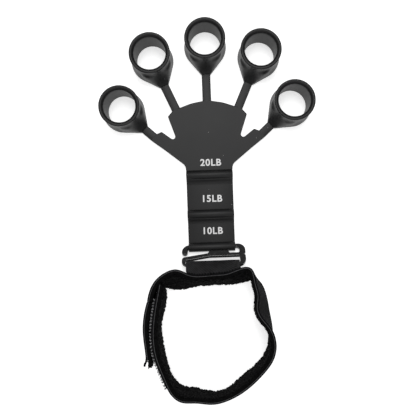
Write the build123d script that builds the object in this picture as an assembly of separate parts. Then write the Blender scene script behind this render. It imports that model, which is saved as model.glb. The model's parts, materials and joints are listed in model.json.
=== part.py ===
from build123d import *
import os
from dataclasses import dataclass
from math import acos, asin, cos, hypot, radians, sin

# Finger exerciser: a silicone hand of five finger rings on stretching arms, a strap with three
# cross tunnels, a metal hook through one tunnel, and a wrist band that closes with hook tape.
# Millimetres. X runs across the hand, Y from the wrist to the fingers, Z up from the table.
# The hand is drawn about its own middle line, and everything is moved at the end so that the
# origin is the middle of the whole object's underside.

# ---- silicone sheet: palm, arms and strap -------------------------------------------------
sheet_t = 3.0            # thickness of palm, arms and strap
arm_w = 5.8              # width of a finger arm
slit = 0.3               # clear gap left at each flex line

# ---- finger rings --------------------------------------------------------------------------
ring_h = 19.5            # height of a finger ring
bore_r = 10.3            # finger bore
lip_r = 1.1              # rounding at the bore's lower mouth
mouth_r = 2.1            # rounding at its upper mouth
rim_r = 0.7              # rounding of the ring's upper outside edge
ring_wall = 3.0          # wall near the top
waist_wall = 2.6         # wall at the waist
base_wall = 3.8          # wall at the foot
ring_foot_h = 2.2        # height of the straight foot
neck_len = 4.7           # from the ring's foot to the crease where the arm begins
neck_h = 13.0            # height of the web where it meets the ring
neck_bow = 2.2           # how far the web's top sags below a straight slope
ring_top_r = bore_r + ring_wall
ring_waist_r = bore_r + waist_wall
ring_base_r = bore_r + base_wall
neck_reach = ring_base_r + neck_len

# ---- G-hook's metal, which the strap's tunnels and the sleeve are sized to --------------------
hook_t = 2.6             # thickness of the metal
hook_bar_w = 2.6         # width of the three bars
hook_side_w = 4.0        # width of the closed side
hook_curl_w = 4.0        # width of the open curl
hook_edge_r = 0.5        # rounding of its edges
bar_r = hypot(hook_bar_w, hook_t) / 2

# ---- strap and its tunnels -------------------------------------------------------------------
strap_w = 31.2           # strap width
tunnel_play = 0.16       # clearance round the hook's bar
tunnel_wall = 1.1        # silicone round the bore
upper_tunnel_y = 23.6
middle_tunnel_y = -2.7
lower_tunnel_y = -24.8
tunnel_bore_r = round(bar_r + tunnel_play, 3)
tunnel_r = tunnel_bore_r + tunnel_wall

# ---- sleeve tab ----------------------------------------------------------------------------------
sleeve_t = 1.0           # webbing thickness
sleeve_play = 0.2        # clearance round the hook's bar
sleeve_end_play = 0.4    # clearance at each end of the slot
sleeve_bore_r = bar_r + sleeve_play
sleeve_r = sleeve_bore_r + sleeve_t

# ---- G-hook's outline, in its own plane: U across, V up, the top bar on V = 0 --------------------
hook_beyond = 5.6        # the hook is wider than the strap by this much on each side
hook_shift = 1.0         # it hangs this far to the right of the strap's middle
hook_tilt = 38.0         # the band's end of it is raised by this angle
throat = 2.5             # from the tunnel to the middle bar
slot_play = 0.25         # least clearance between the sleeve and the middle bar
mid_dip = 2.8            # the middle bar's left end dips by this much
curl_gap = 2.2           # from the curl's tip to the middle bar
loop_taper = 2.4         # the loop's slot starts this far inside the hook's left edge
loop_corner = 3.6        # the loop's lower left corner is cut back by this much
hump_play = 0.7          # from the tunnel to the hump on the middle bar
hump_from, hump_to = -3.0, 9.8   # the hump's ends, across
waist = 0.9              # dip in the closed side beside the middle bar
hook_w = strap_w + 2 * hook_beyond
mid_bar_v = -(tunnel_r + throat + hook_bar_w / 2)
low_bar_v = mid_bar_v - hook_bar_w / 2 - mid_dip - slot_play - sleeve_r
curl_v = mid_bar_v + hook_bar_w / 2 - mid_dip + curl_gap
slot_left = -hook_w / 2 + loop_taper
slot_right = hook_w / 2 - hook_side_w

# ---- wrist band --------------------------------------------------------------------------------
band_w = 25.0            # width of the band, which stands on its edge
webbing_t = 1.2          # outer fabric
lining_t = 2.0           # plush lining
tape_t = 1.6             # hook tape, with its hooks
tape_inset = 0.6         # tape stays this far inside the band's edges
tail_gap = 0.8           # from the hook tape to the tail's lining


@dataclass(frozen=True)
class Finger:
    """One finger's arm: where it leaves the palm, which way it points and how far its ring is."""
    number: int
    root_x: float
    root_y: float
    heading: float
    reach: float

    def along(self, distance, side=0.0):
        """The point this far out along the arm, and this far to its left."""
        a = radians(self.heading)
        return (self.root_x + distance * cos(a) - side * sin(a),
                self.root_y + distance * sin(a) + side * cos(a))

    def place(self, shape):
        """A shape drawn about a ring's axis, with the arm coming from -X, put in its place."""
        return Pos(*self.along(self.reach), 0) * Rot(0, 0, self.heading) * shape


# The arms leave the palm at these points. The outer pair and the inner pair are mirrored.
outer_root, outer_heading, outer_arm = (36.4, 50.3), 42.4, 8.2
inner_root, inner_heading, inner_arm = (21.0, 68.4), 66.1, 17.7
middle_root_y = 73.6
outer_reach = outer_arm + neck_reach
inner_reach = inner_arm + neck_reach
fingers = [
    Finger(1, -outer_root[0], outer_root[1], 180 - outer_heading, outer_reach),
    Finger(2, -inner_root[0], inner_root[1], 180 - inner_heading, inner_reach),
    Finger(3, 0.0, middle_root_y, 90.0, inner_reach),
    Finger(4, inner_root[0], inner_root[1], inner_heading, inner_reach),
    Finger(5, outer_root[0], outer_root[1], outer_heading, outer_reach),
]
nose_r = sheet_t / 2               # a flex line turns about a half-round nose in the sheet
flex_z = sheet_t / 2
hinge_reach = slit + nose_r        # from a palm or tunnel face to the flex axis beyond it


def block(x0, x1, y0, y1, z0, z1):
    """A plain block between two corners."""
    return Pos((x0 + x1) / 2, (y0 + y1) / 2, (z0 + z1) / 2) * Box(x1 - x0, y1 - y0, z1 - z0)


def sheet(corners, thickness, z0=0.0):
    """A flat sheet on rounded corners, each (x, y, radius)."""
    line = FilletPolyline(*[(x, y) for x, y, _ in corners],
                          radius=[r for _, _, r in corners], close=True)
    return Pos(0, 0, z0) * extrude(make_face(line), amount=thickness)


# ---- the silicone hand ---------------------------------------------------------------------------

def palm_plate():
    """The palm, from the upper tunnel to the five arm roots."""
    thumb, index, middle = fingers[4], fingers[3], fingers[2]
    half = arm_w / 2
    right = [
        (strap_w / 2, upper_tunnel_y + tunnel_r, 0),
        (strap_w / 2 + 0.4, upper_tunnel_y + tunnel_r + 3.9, 5.0),
        (28.9, 41.0, 20.0),
        (*thumb.along(0, -half), 0),
        (*thumb.along(0, half), 0.5),
        (31.2, 53.8, 1.0),
        (20.4, 45.6, 1.7),
        (26.7, 63.9, 0.8),
        (*index.along(0, -half), 0),
        (*index.along(0, half), 0),
        (10.6, 72.3, 20.0),
        (*middle.along(0, -half), 0),
    ]
    left = [(-x, y, r) for x, y, r in reversed(right)]
    return sheet(right + left, sheet_t)


def arm(finger):
    """A flat arm: a half-round nose at the palm, square where it meets the neck."""
    length = finger.reach - neck_reach - slit - hinge_reach
    bar = Pos(length / 2, 0, flex_z) * Box(length, arm_w, sheet_t)
    nose = Pos(0, 0, flex_z) * Rot(90, 0, 0) * Cylinder(nose_r, arm_w)
    return Pos(*finger.along(hinge_reach), 0) * Rot(0, 0, finger.heading) * (bar + nose)


def upright(outline):
    """A face on an outline drawn in (x, z), stood up in the XZ plane."""
    return Rot(90, 0, 0) * make_face(outline)


def ring_outside():
    """The outside of half a ring in (x, z), from its top edge down to its foot."""
    return [
        RadiusArc((ring_top_r - rim_r, ring_h), (ring_top_r, ring_h - rim_r), rim_r),
        Spline((ring_top_r, ring_h - rim_r), (ring_waist_r, ring_h / 2),
               (ring_base_r, ring_foot_h)),
        Line((ring_base_r, ring_foot_h), (ring_base_r, 0)),
    ]


def ring_shape():
    """A finger ring about the Z axis: straight bore, waisted outside, rounded mouths."""
    top = ring_h
    wall = upright(ring_outside() + [
        Line((ring_base_r, 0), (bore_r + lip_r, 0)),
        RadiusArc((bore_r + lip_r, 0), (bore_r, lip_r), lip_r),
        Line((bore_r, lip_r), (bore_r, top - mouth_r)),
        RadiusArc((bore_r, top - mouth_r), (bore_r + mouth_r, top), mouth_r),
        Line((bore_r + mouth_r, top), (ring_top_r - rim_r, top)),
    ])
    return revolve(wall, Axis.Z)


def ring_core():
    """The ring's outside filled in to its axis, to cut the neck with."""
    half = upright(ring_outside() + [
        Line((ring_base_r, 0), (0, 0)), Line((0, 0), (0, ring_h)),
        Line((0, ring_h), (ring_top_r - rim_r, ring_h)),
    ])
    return revolve(half, Axis.Z)


def neck_shape():
    """The web from the crease up to the ring's wall, with the ring's axis on Z."""
    half = arm_w / 2
    reach = hypot(neck_reach, half)
    # The sides are tangents from the crease's corners to the foot of the ring.
    turn = asin(half / reach) + acos(ring_base_r / reach)
    touch_x, touch_y = -ring_base_r * cos(turn), ring_base_r * sin(turn)
    plan = make_face(Polyline((-neck_reach, -half), (touch_x, -touch_y), (0, 0),
                              (touch_x, touch_y), (-neck_reach, half), close=True))
    sag_x = (-neck_reach - ring_waist_r) / 2
    sag_z = (sheet_t + neck_h) / 2 - neck_bow
    side = upright([
        Spline((-neck_reach, sheet_t), (sag_x, sag_z), (-ring_waist_r, neck_h)),
        Polyline((-ring_waist_r, neck_h), (0, neck_h), (0, 0), (-neck_reach, 0),
                 (-neck_reach, sheet_t)),
    ])
    web = extrude(plan, amount=neck_h) & extrude(side, amount=ring_base_r, both=True)
    return web - ring_core()


def tunnel(y):
    """A tube across the strap, on a foot as thick as the sheet, with its bore along X."""
    across = Pos(0, y, tunnel_r) * Rot(0, 90, 0)
    foot = block(-strap_w / 2, strap_w / 2, y - tunnel_r, y + tunnel_r, 0, sheet_t)
    return across * Cylinder(tunnel_r, strap_w) + foot - across * Cylinder(tunnel_bore_r, strap_w)


def strap_panel(above_y, below_y):
    """The strap between two tunnels: a half-round nose at the upper one, joined to the lower."""
    axis_y = above_y - tunnel_r - hinge_reach
    bar = block(-strap_w / 2, strap_w / 2, below_y + tunnel_r, axis_y, 0, sheet_t)
    nose = Pos(0, axis_y, flex_z) * Rot(0, 90, 0) * Cylinder(nose_r, strap_w)
    return bar + nose


# ---- the hook ------------------------------------------------------------------------------------

def place_in_hook(shape):
    """From the hook's own plane, with its top bar on X, to where it hangs."""
    return Pos(hook_shift, lower_tunnel_y, tunnel_r) * Rot(-hook_tilt, 0, 0) * shape


def g_hook():
    """A flat metal G: the top bar is open at its left end, the loop below it is closed."""
    side, bar = hook_w / 2, hook_bar_w / 2
    curl_inside = -side + hook_curl_w
    tip_r = hook_curl_w / 2 - 0.05
    hump_v = -tunnel_r - hump_play
    outline = [
        (-side, bar, 5.4), (side, bar, 4.8),
        (side, mid_bar_v + 1.0, 1.2), (side - waist, mid_bar_v, 0.6), (side, mid_bar_v - 1.0, 1.2),
        (side, low_bar_v - bar, 5.0), (-side + loop_corner, low_bar_v - bar, 2.4),
        (-side, low_bar_v + bar, 2.4), (-side, mid_bar_v + bar - mid_dip, 2.2),
        (hump_from - 0.8, mid_bar_v + bar, 0.4), (hump_from, hump_v, 0.8), (hump_to, hump_v, 0.8),
        (hump_to + 0.8, mid_bar_v + bar, 0.4), (slot_right, mid_bar_v + bar, 1.0),
        (slot_right, -bar, 1.8), (curl_inside, -bar, 1.4),
        (curl_inside, curl_v, tip_r), (-side, curl_v, tip_r),
    ]
    slot = [
        (slot_right, mid_bar_v - bar, 0.8), (hump_from, mid_bar_v - bar, 12.0),
        (slot_left + 0.2, mid_bar_v - bar - mid_dip, 0.5),
        (slot_left, low_bar_v + bar, 0.5), (slot_right, low_bar_v + bar, 0.6),
    ]
    flat = sheet(outline, hook_t, -hook_t / 2) - sheet(slot, hook_t, -hook_t / 2)
    return place_in_hook(fillet(flat.edges(), hook_edge_r))


# ---- the wrist band ------------------------------------------------------------------------------

@dataclass(frozen=True)
class Station:
    """One place along the band: its middle line at the upper edge and at the lower edge."""
    top_x: float
    top_y: float
    foot_x: float
    foot_y: float


# From the inner end at the upper left, down the left, round below, up the right and back over
# the top to the left, then down again as the tail. The band leans and ripples, so its two edges
# differ.
band_route = [
    Station(-33.2, -45.6, -33.7, -53.8),
    Station(-36.6, -61.6, -34.8, -64.0),
    Station(-38.4, -75.0, -37.8, -75.5),
    Station(-37.2, -90.7, -36.8, -90.5),
    Station(-32.0, -105.7, -34.0, -105.5),
    Station(-28.4, -113.6, -30.0, -114.8),
    Station(-22.7, -118.6, -24.4, -120.0),
    Station(-14.0, -119.4, -14.4, -122.2),
    Station(-3.2, -120.6, -3.3, -125.0),
    Station(6.4, -118.6, 6.9, -123.4),
    Station(18.9, -111.8, 18.4, -114.8),
    Station(28.9, -102.8, 28.8, -106.6),
    Station(35.2, -94.4, 36.2, -97.0),
    Station(37.1, -85.8, 38.3, -87.0),
    Station(34.0, -75.2, 37.9, -78.4),
    Station(28.6, -68.0, 36.8, -71.4),
    Station(26.8, -62.4, 35.9, -65.0),
    Station(27.6, -54.6, 34.4, -57.5),
    Station(26.0, -47.4, 31.2, -50.6),
    Station(22.6, -37.6, 25.6, -47.2),
    Station(17.4, -37.9, 18.4, -48.6),
    Station(9.1, -40.6, 9.0, -49.2),
    Station(0.6, -41.2, 0.4, -49.3),
    Station(-7.9, -41.6, -8.2, -49.4),
    Station(-15.2, -40.6, -16.9, -50.8),
    Station(-23.0, -37.4, -24.6, -51.6),
    Station(-30.4, -39.5, -30.4, -50.2),
    Station(-35.7, -43.8, -36.6, -49.6),
    Station(-39.0, -49.6, -39.8, -52.6),
    Station(-40.6, -56.0, -40.6, -56.0),
]
tape_top_y, tape_end_y = -58.0, -112.5   # the hook tape runs down the left between these
tail_end_y = -96.0                       # the tail is cut off here


def offset_points(line, out):
    """The points of a line moved outwards, to the right of the way it runs."""
    moved = []
    for i, (x, y) in enumerate(line):
        before, after = line[max(i - 1, 0)], line[min(i + 1, len(line) - 1)]
        run_x, run_y = after[0] - before[0], after[1] - before[1]
        run = hypot(run_x, run_y)
        moved.append((x + out * run_y / run, y - out * run_x / run))
    return moved


def tail_stations():
    """The tail's middle line: from the band's corner down past the hook tape, clear of it."""
    out = webbing_t + tape_t + tail_gap + lining_t
    tops = offset_points([(s.top_x, s.top_y) for s in band_route[:5]], out)[1:4]
    feet = offset_points([(s.foot_x, s.foot_y) for s in band_route[:5]], out)[1:4]
    beside = [Station(*top, *foot) for top, foot in zip(tops, feet)]
    last = beside[-1]
    return beside + [Station(last.top_x, tail_end_y, last.foot_x, tail_end_y)]


def layer(inner, outer, first=0, last=None):
    """One layer of the band: a wall between two distances outwards of the middle line."""
    ends = []
    for side, z in (("foot", 0), ("top", band_w)):
        line = [(s.foot_x, s.foot_y) if side == "foot" else (s.top_x, s.top_y)
                for s in band_route + tail_stations()]
        near, far = ([(x, y, z) for x, y in offset_points(line, out)[first:last]]
                     for out in (inner, outer))
        ends.append(make_face([Spline(*near), Line(near[-1], far[-1]),
                               Spline(*far[::-1]), Line(far[0], near[0])]))
    return loft(ends, ruled=True)


def band_layer(inner, outer):
    """A layer of the band itself, from its inner end to where the tail begins."""
    return layer(inner, outer, last=len(band_route))


def tail_layer(inner, outer):
    """A layer of the tail, a slit away from the band."""
    begins = band_route[-1].top_y - slit
    ends = begins - band_w * 3
    return layer(inner, outer, first=len(band_route) - 1) & block(
        -band_w * 3, 0, ends, begins, 0, band_w)


def hook_tape():
    """Hook tape sewn to the outside of the band's inner end, down the left side."""
    return band_layer(webbing_t, webbing_t + tape_t) & block(
        -band_w * 3, 0, tape_end_y, tape_top_y, tape_inset, band_w - tape_inset)


def hook_point(v):
    """Where the hook's own middle line is at this V, as (y, z)."""
    return (lower_tunnel_y + v * cos(radians(hook_tilt)),
            tunnel_r - v * sin(radians(hook_tilt)))


def sleeve_tab(band):
    """Webbing round the hook's bottom bar, with both ends on the outside of the band."""
    bar = Pos(*hook_point(low_bar_v))
    behind = [s for s in band_route if slot_left < s.top_x < slot_right and s.top_y > tape_top_y]
    foot_y = min(s.foot_y for s in behind)
    top_y = min(s.top_y for s in behind)
    low, high = tape_inset, band_w - tape_inset
    outside = make_hull((bar * Circle(sleeve_r)).edges() + Polyline(
        (foot_y, low), (foot_y, high), (top_y, high), close=True).edges())
    side = outside - bar * Circle(sleeve_bore_r)
    width = slot_right - slot_left - 2 * sleeve_end_play
    across = Plane(origin=(hook_shift + (slot_left + slot_right) / 2, 0, 0), x_dir=(0, 1, 0),
                   z_dir=(1, 0, 0))
    tab = extrude(across * side, amount=width / 2, both=True)
    for piece in band:
        tab = tab - piece
    return max(tab.solids(), key=lambda s: s.volume)


# ---- the whole object -----------------------------------------------------------------------------

def build():
    """Every node's solid, by name, about the hand's own middle line."""
    nodes = {
        "palm_plate": palm_plate(),
        "tunnel_upper": tunnel(upper_tunnel_y),
        "strap_panel_middle": strap_panel(upper_tunnel_y, middle_tunnel_y),
        "tunnel_middle": tunnel(middle_tunnel_y),
        "strap_panel_lower": strap_panel(middle_tunnel_y, lower_tunnel_y),
        "tunnel_lower": tunnel(lower_tunnel_y),
    }
    ring, neck = ring_shape(), neck_shape()
    for finger in fingers:
        nodes[f"finger_arm_{finger.number}"] = arm(finger)
        nodes[f"finger_neck_{finger.number}"] = finger.place(neck)
        nodes[f"finger_ring_{finger.number}"] = finger.place(ring)
    nodes["g_hook"] = g_hook()
    webbing = band_layer(0.0, webbing_t)
    lining = band_layer(-lining_t, 0.0)
    nodes["sleeve_tab"] = sleeve_tab([webbing, lining])
    nodes["band_webbing"] = webbing
    nodes["band_lining"] = lining
    nodes["hook_tape"] = hook_tape()
    nodes["tail_webbing"] = tail_layer(0.0, webbing_t)
    nodes["tail_lining"] = tail_layer(-lining_t, 0.0)
    return nodes


nodes = build()
whole = Compound(children=[Compound(children=n.solids()) for n in nodes.values()])
box = whole.bounding_box()
to_origin = (-(box.min.X + box.max.X) / 2, -(box.min.Y + box.max.Y) / 2, -box.min.Z)
os.makedirs("parts", exist_ok=True)
for name, shape in nodes.items():
    solids = [Pos(*to_origin) * s for s in shape.solids()]
    export_step(solids[0] if len(solids) == 1 else Compound(children=solids), f"parts/{name}.step")
print("origin shift", [round(v, 3) for v in to_origin], "size",
      [round(v, 2) for v in (box.size.X, box.size.Y, box.size.Z)])
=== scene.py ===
"""Finger exerciser: the looks of the silicone hand, its G-hook and its wrist band.

Everything is in metres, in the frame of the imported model. The hand is drawn about its own middle
line, so a place on it is a pair of millimetres that `Hand.place` turns into the frame.
"""
import json
import logging
import math
import random
from dataclasses import dataclass, field
from enum import Enum

import bmesh
import bpy
from mathutils import Matrix, Vector, noise


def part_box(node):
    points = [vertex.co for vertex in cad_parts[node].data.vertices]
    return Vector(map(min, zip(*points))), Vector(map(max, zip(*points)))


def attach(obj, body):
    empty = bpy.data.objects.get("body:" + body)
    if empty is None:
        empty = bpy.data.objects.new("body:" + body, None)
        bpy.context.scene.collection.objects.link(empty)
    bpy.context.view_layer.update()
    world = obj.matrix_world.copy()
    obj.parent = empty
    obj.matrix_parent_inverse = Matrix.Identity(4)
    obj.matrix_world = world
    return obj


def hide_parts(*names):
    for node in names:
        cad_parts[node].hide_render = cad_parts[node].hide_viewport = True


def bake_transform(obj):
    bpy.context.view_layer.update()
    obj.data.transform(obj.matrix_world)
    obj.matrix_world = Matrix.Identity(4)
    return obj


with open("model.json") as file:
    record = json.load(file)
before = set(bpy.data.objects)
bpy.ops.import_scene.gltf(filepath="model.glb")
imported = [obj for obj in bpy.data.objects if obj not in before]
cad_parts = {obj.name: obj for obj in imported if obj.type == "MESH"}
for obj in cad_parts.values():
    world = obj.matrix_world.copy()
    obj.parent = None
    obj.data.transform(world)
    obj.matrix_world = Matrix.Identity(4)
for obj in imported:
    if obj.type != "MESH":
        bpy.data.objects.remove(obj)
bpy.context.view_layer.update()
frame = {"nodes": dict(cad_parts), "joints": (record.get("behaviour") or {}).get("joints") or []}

LOG = logging.getLogger("finger_exerciser")
MM = 0.001


class StripEnd(Enum):
    """Which end of a strip lies beside a given point."""
    START = "start"
    FINISH = "finish"


# ---- small tools ---------------------------------------------------------------------------

def paint(code: str, alpha: float = 1.0) -> tuple[float, float, float, float]:
    """Turn an sRGB hex colour to linear.

    Args:
        code: six hex digits.
        alpha: the fourth number.

    Returns:
        Linear red, green, blue and alpha.
    """
    parts = [int(code[i:i + 2], 16) / 255 for i in (0, 2, 4)]
    r, g, b = (c / 12.92 if c <= 0.04045 else ((c + 0.055) / 1.055) ** 2.4 for c in parts)
    return r, g, b, alpha


def add(tree: bpy.types.NodeTree, kind: str, inputs: dict | None = None,
        **settings) -> bpy.types.Node:
    """Add one node, with its settings, and fill or link its inputs.

    Args:
        tree: the node tree.
        kind: the node's type.
        inputs: socket name or number to a value or to another node's output.
        **settings: the node's own properties.

    Returns:
        The new node.
    """
    node = tree.nodes.new(kind)
    for name, value in settings.items():
        setattr(node, name, value)
    for name, value in (inputs or {}).items():
        if isinstance(value, bpy.types.NodeSocket):
            tree.links.new(value, node.inputs[name])
        else:
            node.inputs[name].default_value = value
    return node


def start_material(name: str) -> tuple[bpy.types.Material, bpy.types.NodeTree, bpy.types.Node]:
    """Make a material with a principled shader wired to its output.

    Args:
        name: the real material's name.

    Returns:
        The material, its tree and its shader.
    """
    material = bpy.data.materials.new(name)
    material.use_nodes = True
    tree = material.node_tree
    return material, tree, tree.nodes["Principled BSDF"]


def set_ramp(ramp: bpy.types.Node, stops: list[tuple[float, tuple]]) -> None:
    """Give a colour ramp its stops.

    Args:
        ramp: the ramp node.
        stops: position and colour of each stop, in order.
    """
    elements = ramp.color_ramp.elements
    while len(elements) < len(stops):
        elements.new(1.0)
    for element, (position, colour) in zip(elements, stops):
        element.position = position
        element.color = colour


def finish_mesh(name: str, bm: bmesh.types.BMesh, material: bpy.types.Material,
                smooth_angle: float = 40.0, recalc: bool = True) -> bpy.types.Object:
    """Turn a bmesh into a finished object at the origin.

    Args:
        name: the piece's name.
        bm: its mesh, which is freed.
        material: its finish.
        smooth_angle: edges turned by less than this many degrees are shaded smooth.
        recalc: whether its normals are recalculated.

    Returns:
        The new object.
    """
    if recalc:
        bmesh.ops.recalc_face_normals(bm, faces=bm.faces[:])
    mesh = bpy.data.meshes.new(name)
    bm.to_mesh(mesh)
    bm.free()
    mesh.materials.append(material)
    obj = bpy.data.objects.new(name, mesh)
    bpy.context.scene.collection.objects.link(obj)
    mesh.shade_smooth()
    mesh.set_sharp_from_angle(angle=math.radians(smooth_angle))
    return obj


def cad_copy(*nodes: str) -> bmesh.types.BMesh:
    """Copy CAD nodes into one bmesh, with their loose triangles merged.

    Args:
        *nodes: the nodes' names.

    Returns:
        The merged copy.
    """
    bm = bmesh.new()
    for node in nodes:
        bm.from_mesh(frame["nodes"][node].data)
    bmesh.ops.remove_doubles(bm, verts=bm.verts[:], dist=2e-6)
    return bm


def middle_of(node: str) -> Vector:
    """Find the middle of a CAD node's box.

    Args:
        node: the node.

    Returns:
        The point in the frame.
    """
    low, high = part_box(node)
    return (low + high) / 2


def joint(name: str) -> dict:
    """Find a packed joint.

    Args:
        name: its name.

    Returns:
        What the frame says of it.
    """
    return next(j for j in frame["joints"] if j["name"] == name)


# ---- finishes -------------------------------------------------------------------------------

@dataclass(frozen=True)
class MouldedSilicone:
    """Charcoal silicone, moulded: near black in itself, and greyed by a soft satin surface."""
    dark: str = "0f0f10"
    light: str = "151516"
    dust: str = "8c8c8c"
    roughness: float = 0.5
    dust_spacing: float = 6.5 * MM
    grain: float = 0.35 * MM

    def make(self) -> bpy.types.Material:
        """Build the material.

        Returns:
            Silicone with faint clouding, a fine mould grain and a few specks of dust.
        """
        material, tree, shader = start_material("moulded silicone")
        place = add(tree, "ShaderNodeTexCoord").outputs["Object"]
        cloud = add(tree, "ShaderNodeTexNoise", {"Vector": place, "Scale": 45.0, "Detail": 3.0})
        tone = add(tree, "ShaderNodeValToRGB", {"Fac": cloud.outputs["Fac"]})
        set_ramp(tone, [(0.35, paint(self.dark)), (0.65, paint(self.light))])
        cells = add(tree, "ShaderNodeTexVoronoi", {"Vector": place, "Scale": 1 / self.dust_spacing})
        speck = add(tree, "ShaderNodeMath", {0: cells.outputs["Distance"], 1: 0.034},
                    operation="LESS_THAN")
        colour = add(tree, "ShaderNodeMix", {"Factor": speck.outputs[0], 6: tone.outputs["Color"],
                                             7: paint(self.dust)}, data_type="RGBA")
        grain = add(tree, "ShaderNodeTexNoise", {"Vector": place, "Scale": 1 / self.grain,
                                                 "Detail": 2.0})
        bump = add(tree, "ShaderNodeBump", {"Height": grain.outputs["Fac"], "Strength": 0.18,
                                            "Distance": 0.00006})
        tree.links.new(colour.outputs[2], shader.inputs["Base Color"])
        tree.links.new(bump.outputs["Normal"], shader.inputs["Normal"])
        shader.inputs["Roughness"].default_value = self.roughness
        shader.inputs["Specular IOR Level"].default_value = 0.37
        return material


@dataclass(frozen=True)
class BlackEnamel:
    """Stoved black enamel on die-cast metal: glossy, with a thin clear film and faint patches of
    wear.
    """
    black: str = "070708"
    worn: str = "2c2c2e"
    roughness: float = 0.16

    def make(self) -> bpy.types.Material:
        """Build the material.

        Returns:
            Gloss enamel that is a little greyer and rougher in faint patches of wear.
        """
        material, tree, shader = start_material("black enamel")
        place = add(tree, "ShaderNodeTexCoord").outputs["Object"]
        patches = add(tree, "ShaderNodeTexNoise", {"Vector": place, "Scale": 420.0, "Detail": 4.0})
        tone = add(tree, "ShaderNodeValToRGB", {"Fac": patches.outputs["Fac"]})
        set_ramp(tone, [(0.52, paint(self.black)), (0.78, paint(self.worn))])
        rough = add(tree, "ShaderNodeMapRange", {"Value": patches.outputs["Fac"],
                                                 "From Min": 0.35, "From Max": 0.8,
                                                 "To Min": self.roughness,
                                                 "To Max": self.roughness + 0.2})
        tree.links.new(tone.outputs["Color"], shader.inputs["Base Color"])
        tree.links.new(rough.outputs["Result"], shader.inputs["Roughness"])
        shader.inputs["Coat Weight"].default_value = 0.6
        shader.inputs["Coat Roughness"].default_value = 0.06
        return material


@dataclass(frozen=True)
class Cloth:
    """A woven or knitted cloth whose pattern follows the piece's own UV map, in metres."""
    name: str
    dark: str
    light: str
    pitch: float
    slant: float
    relief: float
    roughness: float = 0.8
    specular: float = 0.3

    def make(self) -> bpy.types.Material:
        """Build the material.

        Returns:
            Cloth with slanted ribs crossed by finer threads, as relief and as colour: raised
            threads painted lighter and grooves darker, painted highlight and painted shade, mixed
            with random fluff tone.
        """
        material, tree, shader = start_material(self.name)
        across = add(tree, "ShaderNodeUVMap").outputs["UV"]
        turned = add(tree, "ShaderNodeMapping", {"Vector": across,
                                                 "Rotation": (0, 0, math.radians(self.slant))})
        ribs = add(tree, "ShaderNodeTexWave", {"Vector": turned.outputs["Vector"],
                                               "Scale": 0.314 / self.pitch, "Distortion": 0.6,
                                               "Detail": 1.0})
        threads = add(tree, "ShaderNodeTexWave", {"Vector": turned.outputs["Vector"],
                                                  "Scale": 0.5 / self.pitch, "Distortion": 0.4},
                      bands_direction="Y")
        weave = add(tree, "ShaderNodeMath", {0: ribs.outputs["Fac"], 1: threads.outputs["Fac"]},
                    operation="MULTIPLY")
        place = add(tree, "ShaderNodeTexCoord").outputs["Object"]
        fluff = add(tree, "ShaderNodeTexNoise", {"Vector": place, "Scale": 260.0, "Detail": 4.0})
        blend = add(tree, "ShaderNodeMath", {0: weave.outputs[0], 1: fluff.outputs["Fac"]},
                    operation="ADD")
        # The weave that raises the threads also lightens them: painted highlight on the raised
        # threads and painted shade in the grooves, with fluff as random tone.
        tone = add(tree, "ShaderNodeValToRGB", {"Fac": blend.outputs[0]})
        set_ramp(tone, [(0.4, paint(self.dark)), (1.0, paint(self.light))])
        bump = add(tree, "ShaderNodeBump", {"Height": weave.outputs[0], "Strength": 0.7,
                                            "Distance": self.relief})
        tree.links.new(tone.outputs["Color"], shader.inputs["Base Color"])
        tree.links.new(bump.outputs["Normal"], shader.inputs["Normal"])
        shader.inputs["Roughness"].default_value = self.roughness
        shader.inputs["Specular IOR Level"].default_value = self.specular
        return material


@dataclass(frozen=True)
class Fibre:
    """Loose fibre, thread or pile, coloured in clumps, with painted shade in the hollows between
    them.
    """
    name: str
    dark: str
    light: str
    clump: float
    roughness: float = 0.85
    specular: float = 0.3
    relief: float = 0.0

    def make(self) -> bpy.types.Material:
        """Build the material.

        Returns:
            Matt fibre, lighter on its clumps and darker between them: partly its own uneven tone,
            partly painted shade in the hollows of its relief.
        """
        material, tree, shader = start_material(self.name)
        place = add(tree, "ShaderNodeTexCoord").outputs["Object"]
        clumps = add(tree, "ShaderNodeTexNoise", {"Vector": place, "Scale": 1 / self.clump,
                                                  "Detail": 5.0, "Roughness": 0.65})
        # The same clumps set the colour and the relief, so the hollows are painted darker: painted
        # shade as well as the fibre's own uneven tone.
        tone = add(tree, "ShaderNodeValToRGB", {"Fac": clumps.outputs["Fac"]})
        set_ramp(tone, [(0.38, paint(self.dark)), (0.7, paint(self.light))])
        tree.links.new(tone.outputs["Color"], shader.inputs["Base Color"])
        if self.relief:
            bump = add(tree, "ShaderNodeBump", {"Height": clumps.outputs["Fac"], "Strength": 0.9,
                                                "Distance": self.relief})
            tree.links.new(bump.outputs["Normal"], shader.inputs["Normal"])
        shader.inputs["Roughness"].default_value = self.roughness
        shader.inputs["Specular IOR Level"].default_value = self.specular
        return material


@dataclass(frozen=True)
class Ink:
    """White silicone ink, screen printed: flat, slightly satin, with faint pinholes of thinner
    colour.
    """
    white: str = "f4f4f4"
    thin: str = "cfcfcf"

    def make(self) -> bpy.types.Material:
        """Build the material.

        Returns:
            White ink with faint pinholes of thinner colour.
        """
        material, tree, shader = start_material("screen ink")
        place = add(tree, "ShaderNodeTexCoord").outputs["Object"]
        holes = add(tree, "ShaderNodeTexNoise", {"Vector": place, "Scale": 2600.0})
        tone = add(tree, "ShaderNodeValToRGB", {"Fac": holes.outputs["Fac"]})
        set_ramp(tone, [(0.3, paint(self.thin)), (0.45, paint(self.white))])
        tree.links.new(tone.outputs["Color"], shader.inputs["Base Color"])
        shader.inputs["Roughness"].default_value = 0.5
        return material


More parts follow.
